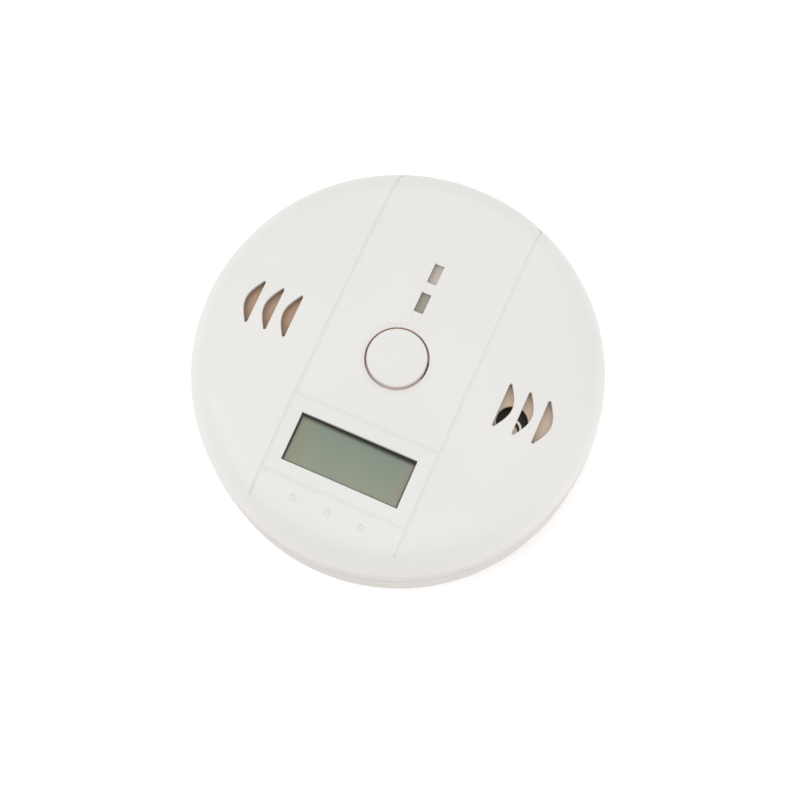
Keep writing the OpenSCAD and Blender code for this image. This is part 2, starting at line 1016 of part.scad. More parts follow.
module circuit_board_screws() {
    color(steel)
    for (p = board_posts)
        translate([p[0], p[1], board_z])
            difference() {
                union() {
                    translate([0, 0, -board_screw_head_h])
                        cylinder(r = board_screw_head_r, h = board_screw_head_h, $fn = 48);
                    translate([0, 0, -eps])
                        cylinder(r = board_screw_r, h = board_screw_l, $fn = 32);
                }
                translate([0, 0, -board_screw_head_h - 1])
                    drive_cross(board_cross_w, board_cross_l, 1 + board_cross_depth);
            }
}

front_cover();
rear_housing();
mounting_base();
test_button();
switch_body();
switch_plunger();
circuit_board();
controller_chip();
capacitors();
chip_resistors();
boost_inductor();
alarm_led();
power_led();
alarm_light_guide();
power_light_guide();
lcd_panel();
lcd_holder();
zebra_strips();
buzzer_body();
buzzer_disc();
sounder_port_ring();
sounder_plate();
sensor_cover();
co_sensor();
sensor_gasket();
battery_left();
battery_middle();
battery_right();
battery_contact_plates();
battery_springs();
case_screws();
circuit_board_screws();
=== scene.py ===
"""Looks for the round carbon monoxide detector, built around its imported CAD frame.

Metres. +Z points out of the domed face, +Y from the test button towards the indicator lights.
"""

import math

import bmesh
import bpy
from mathutils import Matrix, Vector


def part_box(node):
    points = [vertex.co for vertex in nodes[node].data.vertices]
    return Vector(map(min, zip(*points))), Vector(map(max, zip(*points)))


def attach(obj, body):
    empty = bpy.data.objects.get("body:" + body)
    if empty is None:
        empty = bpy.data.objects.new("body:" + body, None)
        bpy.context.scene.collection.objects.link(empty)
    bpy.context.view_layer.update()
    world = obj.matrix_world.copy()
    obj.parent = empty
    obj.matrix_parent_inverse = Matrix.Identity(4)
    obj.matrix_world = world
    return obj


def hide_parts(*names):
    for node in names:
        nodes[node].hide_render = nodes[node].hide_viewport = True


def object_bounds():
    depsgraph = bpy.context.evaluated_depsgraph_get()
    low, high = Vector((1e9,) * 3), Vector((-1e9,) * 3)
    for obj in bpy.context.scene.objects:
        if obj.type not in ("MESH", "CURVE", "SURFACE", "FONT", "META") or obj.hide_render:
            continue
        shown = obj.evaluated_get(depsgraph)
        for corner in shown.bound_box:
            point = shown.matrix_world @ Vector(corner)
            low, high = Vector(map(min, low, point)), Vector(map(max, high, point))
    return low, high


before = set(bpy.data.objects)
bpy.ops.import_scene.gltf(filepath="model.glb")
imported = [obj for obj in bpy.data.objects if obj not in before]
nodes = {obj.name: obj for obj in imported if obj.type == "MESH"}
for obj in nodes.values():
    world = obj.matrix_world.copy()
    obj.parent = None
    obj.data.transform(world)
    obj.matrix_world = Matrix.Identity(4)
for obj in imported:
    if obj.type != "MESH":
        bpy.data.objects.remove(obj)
cad_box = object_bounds()

MM = 0.001
TAU = 2 * math.pi

# ---------- sizes ----------

cover_lo, cover_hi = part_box("front_cover")
button_lo, button_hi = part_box("test_button")
lcd_lo, lcd_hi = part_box("lcd_panel")

LIP_OUT = 0.12 * MM
BODY_R = (cover_hi.x - cover_lo.x) / 2 - LIP_OUT
COVER_Z = cover_lo.z
DOME_R = 357 * MM
EDGE_R = 9 * MM
WALL = 2 * MM
FACE_TOP = 37 * MM
DOME_Z = FACE_TOP - DOME_R
EDGE_X = BODY_R - EDGE_R
EDGE_A = math.asin(EDGE_X / (DOME_R - EDGE_R))
EDGE_Z = DOME_Z + (DOME_R - EDGE_R) * math.cos(EDGE_A)
TANGENT_R = DOME_R * math.sin(EDGE_A)

BAND_X = 19.2 * MM
BAND_Y = (-44.6 * MM, 46.8 * MM)
LINE_Y = (-17.65 * MM, -37.6 * MM)
LINE_GAP = 0.62 * MM
WINDOW_X = -0.4 * MM
WINDOW_Y = (lcd_lo.y + lcd_hi.y) / 2
WINDOW_W = 30.6 * MM
WINDOW_H = 12.5 * MM
BUTTON_HOLE_R = 7.93 * MM
BUTTON_R = 7.5 * MM
LENS_Y = [sum(p.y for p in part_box(n)) / 2 for n in ("alarm_light_guide", "power_light_guide")]
LENS_W = 2.5 * MM
LENS_L = 5.4 * MM
VENT_X = 32.85 * MM
VENT_Y = -0.2 * MM
VENT_PITCH = 5.15 * MM
VENT_L = 11.5 * MM
VENT_BULGE = 2.95 * MM
VENT_TIP = 0.38 * MM
VENT_WALL = 1.2 * MM
POCKET_R = 11.2 * MM
PANEL_STEP = 1.8 * MM

screw_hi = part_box("case_screws")[1]
board_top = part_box("circuit_board")[1].z
CASE_HEAD_R = 2.4 * MM
CASE_XY = screw_hi.x - CASE_HEAD_R
CASE_PLACES = [(i * CASE_XY, j * CASE_XY) for i in (-1, 1) for j in (-1, 1)]
POST_PLACES = [(i * 30 * MM, y * MM) for i in (-1, 1) for y in (22, -24)]
BOSS_R, BOSS_BORE_R = 3.2 * MM, 1.25 * MM
POST_R, POST_BORE_R = 2.6 * MM, 1 * MM

GROOVE_W, GROOVE_DEPTH = 1.0 * MM, 0.32 * MM
LINE_W, LINE_DEPTH = 0.4 * MM, 0.15 * MM
RING_PITCH, RING_Y = 8.95 * MM, -41.35 * MM
CLEAR_OF_FACE = 4 * MM  # how far the cutters stand out of the face
CREASE_OF_COVER = 7  # degrees; facets of its small rounded edges stay flat


def face_z(x, y):
    """Height of the casing's outer surface: the dome, then the soft edge."""
    r = math.hypot(x, y)
    if r <= TANGENT_R:
        return DOME_Z + math.sqrt(DOME_R * DOME_R - r * r)
    out = min(r - EDGE_X, EDGE_R)
    return EDGE_Z + math.sqrt(EDGE_R * EDGE_R - out * out)


# ---------- mesh helpers ----------

def new_object(name, verts, faces):
    mesh = bpy.data.meshes.new(name)
    mesh.from_pydata([tuple(v) for v in verts], [], faces)
    bm = bmesh.new()
    bm.from_mesh(mesh)
    bmesh.ops.remove_doubles(bm, verts=bm.verts, dist=1e-8)
    bmesh.ops.recalc_face_normals(bm, faces=bm.faces)
    bm.to_mesh(mesh)
    bm.free()
    obj = bpy.data.objects.new(name, mesh)
    bpy.context.scene.collection.objects.link(obj)
    return obj


def lathe(name, profile, segments):
    """Solid of revolution from a closed run of (radius, height) points. Points on the axis are shared."""
    verts, rings, faces = [], [], []
    for r, z in profile:
        if r < 1e-9:
            rings.append([len(verts)] * segments)
            verts.append((0, 0, z))
        else:
            rings.append(list(range(len(verts), len(verts) + segments)))
            verts += flat(circle(0, 0, r, segments), z)
    pairs = list(zip(rings, rings[1:] + rings[:1]))
    for a, b in pairs:
        if a[0] == a[1] and b[0] == b[1]:
            continue
        for i in range(segments):
            j = (i + 1) % segments
            corners = []
            for v in (a[i], a[j], b[j], b[i]):
                if v not in corners:
                    corners.append(v)
            if len(corners) > 2:
                faces.append(corners)
    return new_object(name, verts, faces)


def loft(name, rings):
    """Closed solid through rings of equal length, capped by a fan at each end."""
    n = len(rings[0])
    verts = [p for ring in rings for p in ring]
    faces = []
    for k in range(len(rings) - 1):
        for i in range(n):
            j = (i + 1) % n
            faces.append([k * n + i, k * n + j, (k + 1) * n + j, (k + 1) * n + i])
    for ring, first in ((rings[0], 0), (rings[-1], (len(rings) - 1) * n)):
        centre = sum((Vector(p) for p in ring), Vector()) / n
        verts.append(tuple(centre))
        faces += [[first + i, first + (i + 1) % n, len(verts) - 1] for i in range(n)]
    return new_object(name, verts, faces)


def sweep(name, path, section):
    """Closed tube: section points (across, up) carried along path, whose items are (point, across, up)."""
    rings = []
    for point, across, up in path:
        rings.append([tuple(Vector(point) + Vector(across) * a + Vector(up) * b) for a, b in section])
    return loft(name, rings)


def boolean(target, tools, operation="DIFFERENCE"):
    """Applies each tool to the target in turn, then deletes the tools."""
    for tool in tools:
        step = target.modifiers.new("cut", "BOOLEAN")
        step.operation = operation
        step.solver = "MANIFOLD"
        step.object = tool
    apply_modifiers(target)
    for tool in tools:
        bpy.data.objects.remove(tool)


def apply_modifiers(obj):
    depsgraph = bpy.context.evaluated_depsgraph_get()
    mesh = bpy.data.meshes.new_from_object(obj.evaluated_get(depsgraph))
    old = obj.data
    obj.modifiers.clear()
    obj.data = mesh
    bpy.data.meshes.remove(old)
    mesh.name = obj.name


def weld(obj, distance=2e-7):
    """Merges corners that the cuts left almost touching, and drops the slivers between them."""
    bm = bmesh.new()
    bm.from_mesh(obj.data)
    bmesh.ops.remove_doubles(bm, verts=bm.verts, dist=distance)
    bmesh.ops.dissolve_degenerate(bm, edges=bm.edges, dist=distance)
    bm.to_mesh(obj.data)
    bm.free()


def shade(obj, degrees):
    """Smooth shading that keeps the large faces true and bends only over the small ones between them."""
    obj.data.shade_smooth()
    obj.data.set_sharp_from_angle(angle=math.radians(degrees))
    weighted = obj.modifiers.new("weighted", "WEIGHTED_NORMAL")
    weighted.keep_sharp = True
    weighted.weight = 80
    apply_modifiers(obj)


def arc(cx, cz, r, start, end, steps):
    """Points (x, z) on an arc; angles in degrees from straight up, clockwise."""
    points = []
    for i in range(steps + 1):
        a = math.radians(start + (end - start) * i / steps)
        points.append((cx + r * math.sin(a), cz + r * math.cos(a)))
    return points


def rect(cx, cy, w, h, r, step):
    """Rounded rectangle outline with its straight sides divided about every step."""
    points = []
    half_w, half_h = w / 2 - r, h / 2 - r
    corners = ((half_w, half_h, 0), (-half_w, half_h, 90), (-half_w, -half_h, 180), (half_w, -half_h, 270))
    for k, (x, y, start) in enumerate(corners):
        for i in range(5):
            a = math.radians(start + 90 * i / 4)
            points.append((cx + x + r * math.cos(a), cy + y + r * math.sin(a)))
        nx, ny, _ = corners[(k + 1) % 4]
        n = max(1, round(math.hypot(nx - x, ny - y) / step))
        a = math.radians(start + 90)
        for i in range(1, n):
            t = i / n
            px, py = cx + x + (nx - x) * t, cy + y + (ny - y) * t
            points.append((px + r * math.cos(a), py + r * math.sin(a)))
    return points


def circle(cx, cy, r, n=96):
    return [(cx + r * math.cos(TAU * i / n), cy + r * math.sin(TAU * i / n)) for i in range(n)]


def on_face(outline, depth):
    return [(x, y, face_z(x, y) - depth) for x, y in outline]


def flat(outline, z):
    return [(x, y, z) for x, y in outline]


# ---------- front cover ----------

def casing_curve(inset, z_end):
    """Outer curve of the cover from the axis to the level z_end, moved inwards by inset."""
    dome_steps, edge_steps = 30, 26
    points = []
    for i in range(dome_steps + 1):
        a = EDGE_A * i / dome_steps
        points.append(((DOME_R - inset) * math.sin(a), DOME_Z + (DOME_R - inset) * math.cos(a)))
    for i in range(1, edge_steps + 1):
        a = EDGE_A + (math.pi / 2 - EDGE_A) * i / edge_steps
        points.append((EDGE_X + (EDGE_R - inset) * math.sin(a), EDGE_Z + (EDGE_R - inset) * math.cos(a)))
    points.append((BODY_R - inset, z_end))
    return points


def vent_outline(side, x0, grow):
    """Straight edge towards the centre, a bulge that flares into round tips, all moved out by grow."""
    half = VENT_L / 2 - VENT_TIP
    bulge_steps, edge_steps, tip_steps = 24, 12, 6
    points = []
    for i in range(bulge_steps + 1):
        t = 2 * i / bulge_steps - 1
        bulge = 2 * VENT_TIP + (VENT_BULGE - 2 * VENT_TIP) * math.cos(math.pi / 2 * t)
        points.append((bulge, t * half))
    for i in range(1, tip_steps):
        a = math.pi * i / tip_steps
        points.append((VENT_TIP + VENT_TIP * math.cos(a), half + VENT_TIP * math.sin(a)))
    for i in range(edge_steps + 1):
        points.append((0, half - 2 * half * i / edge_steps))
    for i in range(1, tip_steps):
        a = math.pi + math.pi * i / tip_steps
        points.append((VENT_TIP + VENT_TIP * math.cos(a), -half + VENT_TIP * math.sin(a)))
    n = len(points)
    out = []
    for i in range(n):
        before, after = Vector(points[i - 1]), Vector(points[(i + 1) % n])
        along = (after - before).normalized()
        p = Vector(points[i]) + Vector((along.y, -along.x)) * grow
        out.append((side * (x0 + p.x), VENT_Y + p.y))
    return out if side > 0 else out[::-1]


def through_cutter(name, outline, fillet, bottom):
    """Hole through the cover with its upper edge rounded by fillet; outline(grow) gives its outline."""
    mouth = outline(fillet * 1.25)
    rings = [flat(mouth, FACE_TOP + CLEAR_OF_FACE), on_face(mouth, -fillet * 0.3)]
    for i in range(5):
        a = math.pi / 2 * i / 4
        rings.append(on_face(outline(fillet * (1 - math.sin(a))), fillet * (1 - math.cos(a))))
    rings.append(flat(outline(0), bottom))
    return loft(name, rings)


def groove_section(width, depth):
    """Groove cross-section with rolled shoulders and a rounded bottom, open above the surface."""
    half = width / 2
    shape = (
        (1.3, 0.3), (1.08, 0.04), (0.9, -0.12), (0.72, -0.36), (0.55, -0.68), (0.38, -0.9), (0.18, -1),
    )
    side = [(half * 1.3, 1.5 * MM)] + [(half * x, depth * z) for x, z in shape]
    return side + [(-x, z) for x, z in reversed(side)]


def face_normal(x, y):
    e = 0.01 * MM
    dx = (face_z(x + e, y) - face_z(x - e, y)) / (2 * e)
    dy = (face_z(x, y + e) - face_z(x, y - e)) / (2 * e)
    return Vector((-dx, -dy, 1)).normalized()


def groove(name, start, end, width, depth, steps):
    """Groove between two points of the face that keeps its depth as the face curves."""
    path = []
    direction = (Vector(end) - Vector(start)).normalized()
    across = Vector((direction.y, -direction.x, 0))
    for i in range(steps + 1):
        x, y = Vector(start).lerp(Vector(end), i / steps)
        path.append(((x, y, face_z(x, y)), across, face_normal(x, y)))
    return sweep(name, path, groove_section(width, depth))


def band_grooves():
    return [
        groove("band_groove", (s * BAND_X, BAND_Y[0]), (s * BAND_X, BAND_Y[1]), GROOVE_W, GROOVE_DEPTH, 90)
        for s in (-1, 1)
    ]


def cross_lines():
    reach = BAND_X - 0.2 * MM
    levels = [y + s * LINE_GAP / 2 for y in LINE_Y for s in (-1, 1)]
    return [groove("cross_line", (-reach, y), (reach, y), LINE_W, LINE_DEPTH, 40) for y in levels]


def display_window():
    """Window with a shallow mitred slope round it that runs down from the band's grooves to its edge."""
    surround_w = 2 * BAND_X - 1.4 * MM
    surround_top = LINE_Y[0] - 0.75 * MM
    surround_bottom = LINE_Y[1] + 0.75 * MM
    top, bottom, side = WINDOW_Y + WINDOW_H / 2, WINDOW_Y - WINDOW_H / 2, WINDOW_W / 2

    def ring(t, grow):
        """Outline between the window (t = 0) and the surround's edge (t = 1), with matching points."""
        hi = top + (surround_top - top) * t + grow
        lo = bottom + (surround_bottom - bottom) * t - grow
        half = side + (surround_w / 2 - side) * t + grow
        shift = WINDOW_X * max(0, 1 - t)
        n_long, n_short = 26, 10
        points = []
        r = 0.04 * MM
        spans = (
            ((half, hi), (-half, hi), n_long),
            ((-half, hi), (-half, lo), n_short),
            ((-half, lo), (half, lo), n_long),
            ((half, lo), (half, hi), n_short),
        )
        for (x0, y0), (x1, y1), n in spans:
            length = math.hypot(x1 - x0, y1 - y0)
            for i in range(n):
                s = r / length + (1 - 2 * r / length) * i / (n - 1)
                points.append((x0 + (x1 - x0) * s + shift, y0 + (y1 - y0) * s))
        return points

    slope = 0.42 * MM
    over = 0.16
    edge = 0.1 * MM
    rings = [
        flat(ring(1 + over, 0), FACE_TOP + CLEAR_OF_FACE),
        on_face(ring(1 + over, 0), -slope * over),
        on_face(ring(1, 0), 0),
        on_face(ring(0.5, 0), slope * 0.5),
        on_face(ring(0, edge), slope),
        on_face(ring(0, edge * 0.3), slope + edge * 0.3),
        on_face(ring(0, 0), slope + edge),
        flat(ring(0, 0), lcd_lo.z),
    ]
    return loft("display_window", rings)


def button_hole():
    """Test button's hole, which the face leads into through a shallow dish."""
    radius_and_depth_mm = (
        (9.75, -0.12), (9.4, -0.02), (9.2, 0.03), (9.0, 0.1), (8.8, 0.19), (8.55, 0.31),
        (8.3, 0.42), (8.12, 0.51), (8.02, 0.6), (7.95, 0.71), (7.93, 0.84),
    )
    segments = 160
    dish_r = radius_and_depth_mm[0][0] * MM
    rings = [flat(circle(0, 0, dish_r, segments), FACE_TOP + CLEAR_OF_FACE)]
    rings += [on_face(circle(0, 0, r * MM, segments), d * MM) for r, d in radius_and_depth_mm]
    rings.append(flat(circle(0, 0, BUTTON_HOLE_R, segments), EDGE_Z))
    return loft("button_hole", rings)


def lens_channel():
    """Half-round channel that holds both indicator windows and rises out of the face at its ends."""
    radius, depth = 2.75 * MM, 0.3 * MM
    end = 3.4 * MM  # from a window's middle to where the rise starts, and the rise's length
    low, high = LENS_Y[1] - end, LENS_Y[0] + end
    section = circle(0, 0, radius, 40)
    path = []
    count = 48
    for i in range(count + 1):
        y = low - end + (high - low + 2 * end) * i / count
        past = max(low - y, y - high, 0) / end
        lift = radius - depth + (depth + 0.25 * MM) * past ** 1.6
        path.append(((0, y, face_z(0, y) + lift), (1, 0, 0), (0, 0, 1)))
    return sweep("lens_channel", path, section)


def lens_outline(y, grow):
    corner_r = 0.14 * MM
    return rect(0, y, LENS_W + 2 * grow, LENS_L + 2 * grow, corner_r + grow, 1 * MM)


def lens_windows():
    fillet = 0.09 * MM
    return [
        through_cutter("lens_window", lambda grow, y=y: lens_outline(y, grow), fillet, EDGE_Z)
        for y in LENS_Y
    ]


def vents():
    return [
        through_cutter(
            "vent",
            lambda grow, side=side, x0=VENT_X + i * VENT_PITCH: vent_outline(side, x0, grow),
            0.22 * MM, EDGE_Z,
        )
        for side in (-1, 1)
        for i in (-1, 0, 1)
    ]


def vent_pockets():
    """Hollows inside the cover that leave a thinner wall round each group of vents."""
    made = []
    for side in (-1, 1):
        x = side * VENT_X
        rings = [flat(circle(x, 0, POCKET_R), EDGE_Z)]
        rings += [on_face(circle(x, 0, POCKET_R * t), VENT_WALL) for t in (1, 0.75, 0.5, 0.25)]
        made.append(loft("vent_pocket", rings))
    return made


def face_rings():
    """Three small rings cut into the face below the display."""
    section_mm = (
        (0.3, 0.5), (0.34, 0.02), (0.42, -0.07), (0.5, -0.2), (0.58, -0.26),
        (0.7, -0.26), (0.78, -0.2), (0.87, -0.07), (0.96, 0.02), (1.0, 0.5),
    )
    made = []
    for i in (-1, 0, 1):
        x, y = i * RING_PITCH, RING_Y
        ring = lathe("face_ring", [(r * MM, z * MM) for r, z in section_mm], 40)
        tilt = Vector((0, 0, 1)).rotation_difference(face_normal(x, y)).to_matrix().to_4x4()
        ring.data.transform(Matrix.Translation((x, y, face_z(x, y))) @ tilt)
        made.append(ring)
    return made


def columns(x_y, r, bottom, top_depth):
    """Round columns at the given places, from a level up to a depth under the face."""
    made = []
    for x, y in x_y:
        outline = circle(x, y, r, 48)
        made.append(loft("column", [flat(outline, bottom), on_face(outline, top_depth)]))
    return made


def bores(x_y, r, bottom, top):
    outlines = [circle(x, y, r, 32) for x, y in x_y]
    return [loft("bore", [flat(outline, bottom), flat(outline, top)]) for outline in outlines]


def display_pocket():
    """Stepped hollow inside the cover that the display panel sits up into."""
    gap = 0.3 * MM
    half_w, half_h = (lcd_hi.x - lcd_lo.x) / 2 + gap, (lcd_hi.y - lcd_lo.y) / 2 + gap
    step_z = (lcd_lo.z + lcd_hi.z) / 2
    tools = []
    for inset, top in ((0, step_z + gap), (PANEL_STEP, lcd_hi.z + 0.1 * MM)):
        outline = rect(0, WINDOW_Y, 2 * half_w, 2 * (half_h - inset), 0.1 * MM, 50 * MM)
        tools.append(loft("display_pocket", [flat(outline, EDGE_Z), flat(outline, top)]))
    return tools


def build_front_cover():
    outer = casing_curve(0, COVER_Z)
    lip = [
        (BODY_R, COVER_Z + 0.95 * MM),
        (BODY_R + LIP_OUT * 0.7, COVER_Z + 0.85 * MM),
        (BODY_R + LIP_OUT, COVER_Z + 0.65 * MM),
        (BODY_R + LIP_OUT, COVER_Z + 0.2 * MM),
        (BODY_R + LIP_OUT * 0.6, COVER_Z + 0.05 * MM),
        (BODY_R - 0.1 * MM, COVER_Z),
    ]
    inner = casing_curve(WALL, COVER_Z)[::-1]
    side = [(BODY_R, EDGE_Z - (EDGE_Z - COVER_Z) * t) for t in (0.25, 0.5, 0.75)]
    cover = lathe("cover_shell", outer[:-1] + side + lip + inner, 288)
    boss_z, post_z = COVER_Z + 2 * MM, board_top
    boolean(cover, columns(CASE_PLACES, BOSS_R, boss_z, 1 * MM), "UNION")
    boolean(cover, columns(POST_PLACES, POST_R, post_z, 1 * MM), "UNION")
    boolean(cover, bores(CASE_PLACES, BOSS_BORE_R, boss_z - 1 * MM, boss_z + 7 * MM))
    boolean(cover, bores(POST_PLACES, POST_BORE_R, post_z - 1 * MM, post_z + 4 * MM))
    boolean(cover, display_pocket())
    boolean(cover, face_rings() + vent_pockets())
    boolean(cover, [lens_channel()])
    boolean(cover, [button_hole(), display_window()] + lens_windows() + vents())
    boolean(cover, band_grooves())
    boolean(cover, cross_lines())
    weld(cover)
    shade(cover, CREASE_OF_COVER)
    return cover


# ---------- test button ----------

CAP_SHIFT = (-0.09 * MM, 0.17 * MM)  # the cap's play in its hole


def build_test_button():
    """Cap over a wider guide and a flange, hollow inside, with a stem down to the switch."""
    top, stem_z = button_hi.z, button_lo.z
    flange_r = (button_hi.x - button_lo.x) / 2
    flange_z = FACE_TOP - WALL - 0.35 * MM
    guide_r, guide_z = BUTTON_HOLE_R - 0.1 * MM, top - 1.6 * MM
    hollow_r, hollow_z = BUTTON_R - 1.2 * MM, top - 1.2 * MM
    flange_t, stem_r = 1 * MM, 2 * MM
    edge, crown, soft = 0.7 * MM, 0.06 * MM, 0.12 * MM
    profile = [(0, top)]
    for i in range(1, 13):
        r = (BUTTON_R - edge) * i / 12
        profile.append((r, top - crown * (i / 12) ** 2))
    profile += arc(BUTTON_R - edge, top - crown - edge, edge, 6, 90, 14)
    profile += [(BUTTON_R, guide_z)]
    profile += arc(guide_r - soft, guide_z - soft, soft, 0, 90, 3)
    profile += [(guide_r, flange_z)]
    profile += arc(flange_r - soft, flange_z - soft, soft, 0, 90, 3)
    profile += [(flange_r, flange_z - flange_t), (hollow_r, flange_z - flange_t), (hollow_r, hollow_z)]
    profile += [(stem_r, hollow_z), (stem_r, stem_z), (0, stem_z)]
    cap = lathe("button_cap", profile, 192)
    notch, reach = [], 0.3
    for r, turn in ((BUTTON_R + 0.05 * MM, 1), (flange_r + 1 * MM, -1)):
        angles = [reach * turn * (i / 6 - 1) for i in range(13)]
        notch += [(r * math.cos(a), r * math.sin(a)) for a in angles]
    boolean(cap, [loft("notch", [flat(notch, flange_z - 2 * flange_t), flat(notch, top)])])
    for vertex in cap.data.vertices:
        r = math.hypot(vertex.co.x, vertex.co.y)
        if vertex.co.z > guide_z - 0.01 * MM and r < BUTTON_R + 0.01 * MM:
            vertex.co.x += CAP_SHIFT[0]
            vertex.co.y += CAP_SHIFT[1]
    shade(cap, 40)
    return cap


# ---------- materials ----------

def material(name, colour, roughness, **sockets):
    """Plain shader material. A socket is given by its name, with _ for a space."""
    mat = bpy.data.materials.new(name)
    mat.use_nodes = True
    tree = mat.node_tree
    shader = tree.nodes["Principled BSDF"]
    shader.inputs["Base Color"].default_value = (*colour, 1)
    shader.inputs["Roughness"].default_value = roughness
    for socket, value in sockets.items():
        shader.inputs[socket.replace("_", " ")].default_value = value
    return mat, tree, shader


def object_coords(tree):
    """Object coordinates, from one node that the whole material shares."""
    coords = tree.nodes.get("Coords") or tree.nodes.new("ShaderNodeTexCoord")
    coords.name = "Coords"
    return coords.outputs["Object"]


def noise(tree, scale, detail=2.0, roughness=0.5):
    node = tree.nodes.new("ShaderNodeTexNoise")
    node.inputs["Scale"].default_value = scale
    node.inputs["Detail"].default_value = detail
    node.inputs["Roughness"].default_value = roughness
    tree.links.new(object_coords(tree), node.inputs["Vector"])
    return node.outputs["Fac"]


def ramp(tree, fac, low, high, start=0.3, end=0.7):
    node = tree.nodes.new("ShaderNodeValToRGB")
    node.color_ramp.elements[0].position = start
    node.color_ramp.elements[1].position = end
    node.color_ramp.elements[0].color = (*low, 1)
    node.color_ramp.elements[1].color = (*high, 1)
    tree.links.new(fac, node.inputs["Fac"])
    return node.outputs["Color"]


def remap(tree, fac, low, high):
    node = tree.nodes.new("ShaderNodeMapRange")
    node.inputs["To Min"].default_value = low
    node.inputs["To Max"].default_value = high
    tree.links.new(fac, node.inputs["Value"])
    return node.outputs["Result"]


def bump(tree, shader, fac, strength, distance, below=None):
    node = tree.nodes.new("ShaderNodeBump")
    node.inputs["Strength"].default_value = strength
    node.inputs["Distance"].default_value = distance
    tree.links.new(fac, node.inputs["Height"])
    if below is not None:
        tree.links.new(below, node.inputs["Normal"])
    tree.links.new(node.outputs["Normal"], shader.inputs["Normal"])
    return node.outputs["Normal"]


def scaled(colour, factor):
    return tuple(c * factor for c in colour)


def glow(colour, strength):
    """Shader sockets for a faint emission."""
    return {"Emission_Color": (*colour, 1), "Emission_Strength": strength}


# painted shade: darker, warmer colour low down on the casing, where its sides turn away from the light
LOW_SHADE_MATERIALS = ("white_abs", "cover_abs")
LOW_SHADE_COLOUR = (0.665, 0.63, 0.60)
LOW_SHADE_FROM, LOW_SHADE_TO = 30 * MM, 20 * MM
# painted light: warm tint on the walls of the test button's gap, standing in for light passing through the
# plastic
GAP_WALL_GLOW_COLOUR = (0.70, 0.56, 0.49)


def moulded(name, colour, roughness, tint=0.03, grain=0.5, gap_glow_side=0, **sockets):
    """Moulded plastic: faint cloudy tint, fine spark-eroded grain and slightly uneven gloss.

    The casing is painted a little darker and warmer low down, as painted shade on its lower sides.
    gap_glow_side 1 or -1 paints a warm tint on the wall that faces the test button's gap, from outside or
    from inside it, as painted light standing in for light passing through the plastic.
    """
    mat, tree, shader = material(name, colour, roughness, **sockets)
    body = ramp(tree, noise(tree, 28, 3), scaled(colour, 1 - tint), colour)
    # painted shade: blends the casing towards a darker, warmer colour low down
    if name in LOW_SHADE_MATERIALS:
        low = between(tree, axis_value(tree, "Z"), LOW_SHADE_FROM, LOW_SHADE_TO)
        body = blend_colours(tree, low, body, LOW_SHADE_COLOUR)
    # painted light: warm tint on the gap's wall, standing in for light passing through the plastic
    if gap_glow_side:
        x, y = axis_value(tree, "X"), axis_value(tree, "Y")
        square = combine(tree, "ADD", combine(tree, "MULTIPLY", x, x), combine(tree, "MULTIPLY", y, y))
        r = combine(tree, "SQRT", square, 0)
        if gap_glow_side > 0:
            wall = between(tree, r, BUTTON_HOLE_R + 0.14 * MM, BUTTON_HOLE_R + 0.04 * MM)
        else:
            wall = between(tree, r, BUTTON_R - 0.08 * MM, BUTTON_R - 0.01 * MM)
        body = blend_colours(tree, wall, body, GAP_WALL_GLOW_COLOUR)
    tree.links.new(body, shader.inputs["Base Color"])
    uneven = remap(tree, noise(tree, 90, 4), roughness - 0.06, roughness + 0.06)
    tree.links.new(uneven, shader.inputs["Roughness"])
    coarse = bump(tree, shader, noise(tree, 420, 2), 0.25 * grain, 0.02 * MM)
    bump(tree, shader, noise(tree, 3600, 2, 0.6), 0.55 * grain, 0.012 * MM, coarse)
    return mat


def axis_value(tree, axis):
    """Object coordinate along one axis, in metres."""
    split = tree.nodes.get("Split")
    if split is None:
        split = tree.nodes.new("ShaderNodeSeparateXYZ")
        split.name = "Split"
        tree.links.new(object_coords(tree), split.inputs["Vector"])
    return split.outputs[axis]


def between(tree, value, start, end, smooth=True):
    """0 at start and 1 at end, held outside them."""
    node = tree.nodes.new("ShaderNodeMapRange")
    node.interpolation_type = "SMOOTHSTEP" if smooth else "LINEAR"
    if end > start:
        ends = (start, end, 0, 1)
    else:
        ends = (end, start, 1, 0)
    for socket, number in zip(("From Min", "From Max", "To Min", "To Max"), ends):
        node.inputs[socket].default_value = number
    tree.links.new(value, node.inputs["Value"])
    return node.outputs["Result"]


def combine(tree, operation, a, b):
    node = tree.nodes.new("ShaderNodeMath")
    node.operation = operation
    for socket, value in zip(node.inputs, (a, b)):
        if isinstance(value, (int, float)):
            socket.default_value = value
        else:
            tree.links.new(value, socket)
    return node.outputs[0]


def blend_colours(tree, fac, a, b):
    """Mix of two colours, each a triple or another node's output."""
    node = tree.nodes.new("ShaderNodeMix")
    node.data_type = "RGBA"
    tree.links.new(fac, node.inputs["Factor"])
    for name, value in (("A", a), ("B", b)):
        socket = [i for i in node.inputs if i.name == name and i.type == "RGBA"][0]
        if isinstance(value, tuple):
            socket.default_value = (*value, 1)
        else:
            tree.links.new(value, socket)
    return [o for o in node.outputs if o.type == "RGBA"][0]


def wave(tree, axis, scale, distortion=0.0):
    node = tree.nodes.new("ShaderNodeTexWave")
    node.bands_direction = axis
    node.inputs["Scale"].default_value = scale
    node.inputs["Distortion"].default_value = distortion
    tree.links.new(object_coords(tree), node.inputs["Vector"])
    return node.outputs["Fac"]


